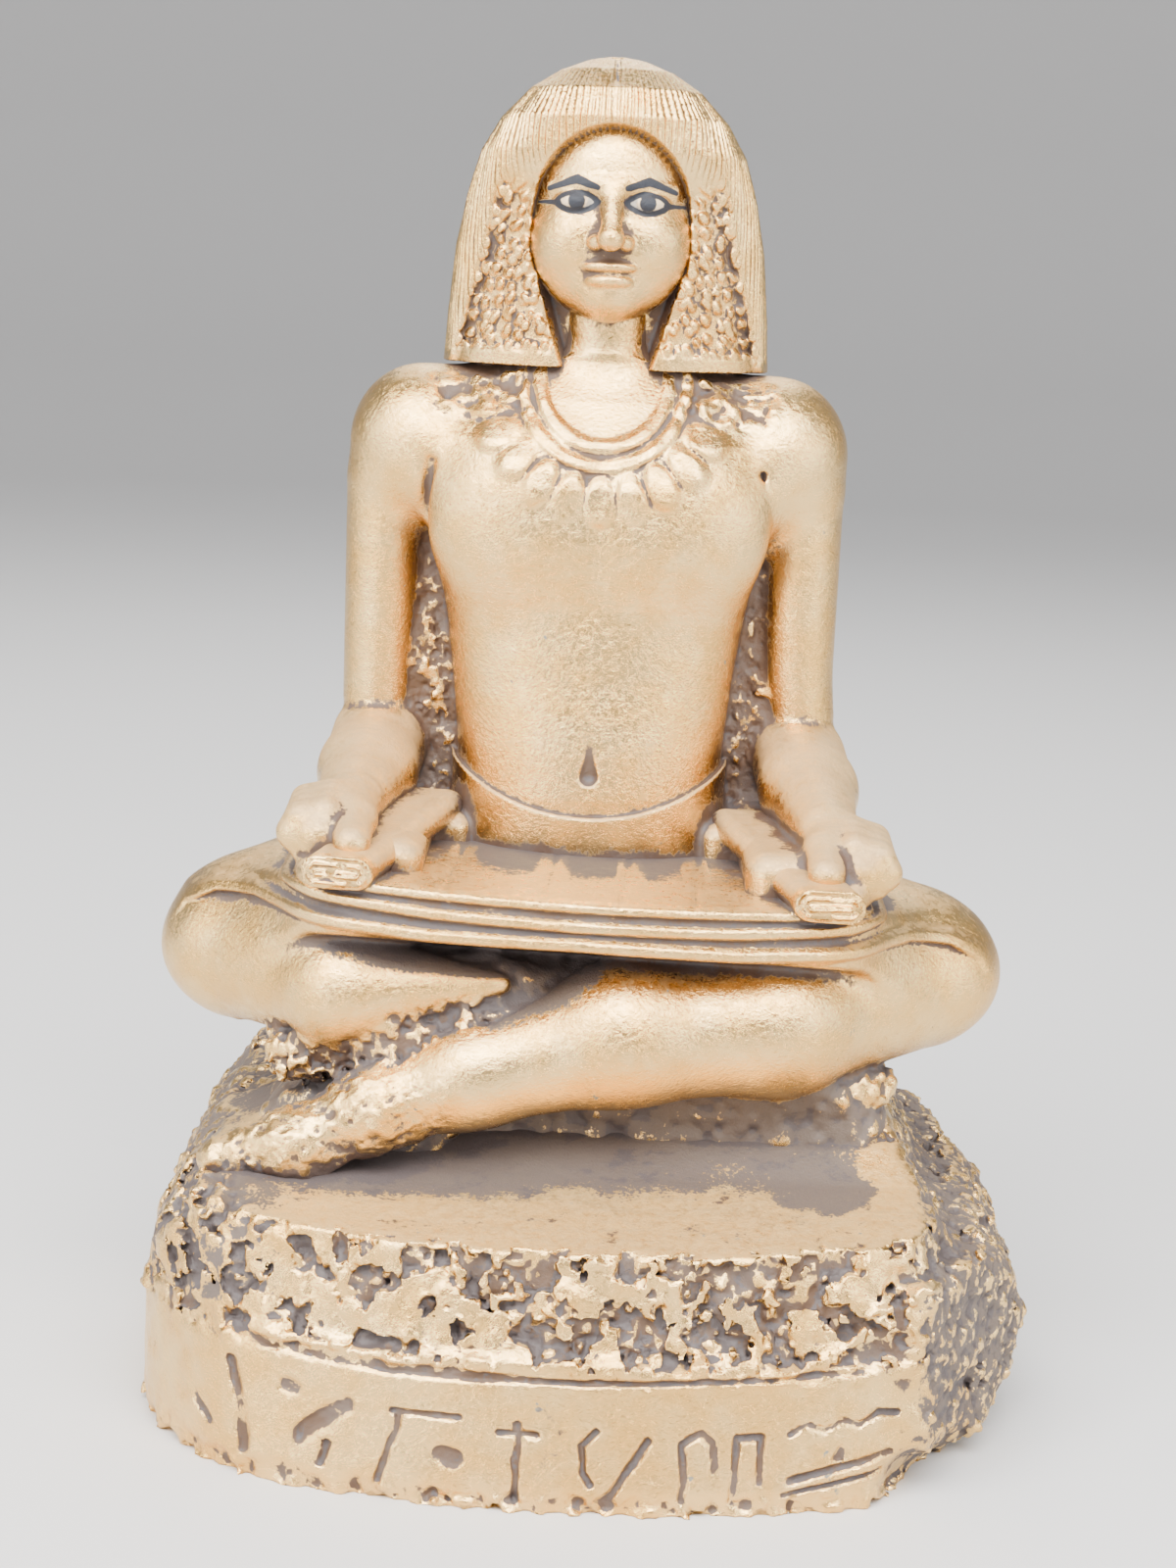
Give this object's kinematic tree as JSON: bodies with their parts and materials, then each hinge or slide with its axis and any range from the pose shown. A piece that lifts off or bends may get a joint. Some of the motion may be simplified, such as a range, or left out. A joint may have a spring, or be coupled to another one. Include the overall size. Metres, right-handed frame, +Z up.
{
  "type": "seated scribe statue",
  "caption": "Cast stone figure of a scribe seated cross-legged on a rough rock plinth with a papyrus open on the lap; stands on its flat underside.",
  "frame": {"origin": "middle of the flat underside below the figure, on the surface the statue stands on", "axes": "+Z up; the scribe looks along -Y; +X is towards the figure's left hand"},
  "size_m": [0.1609, 0.1337, 0.24],
  "materials": {
    "gilt_stone": "worn gold leaf over cast stone, dusty in the hollows"
  },
  "bodies": {
    "root": {"scribe_statue": "gilt_stone"}
  },
  "joints": []
}
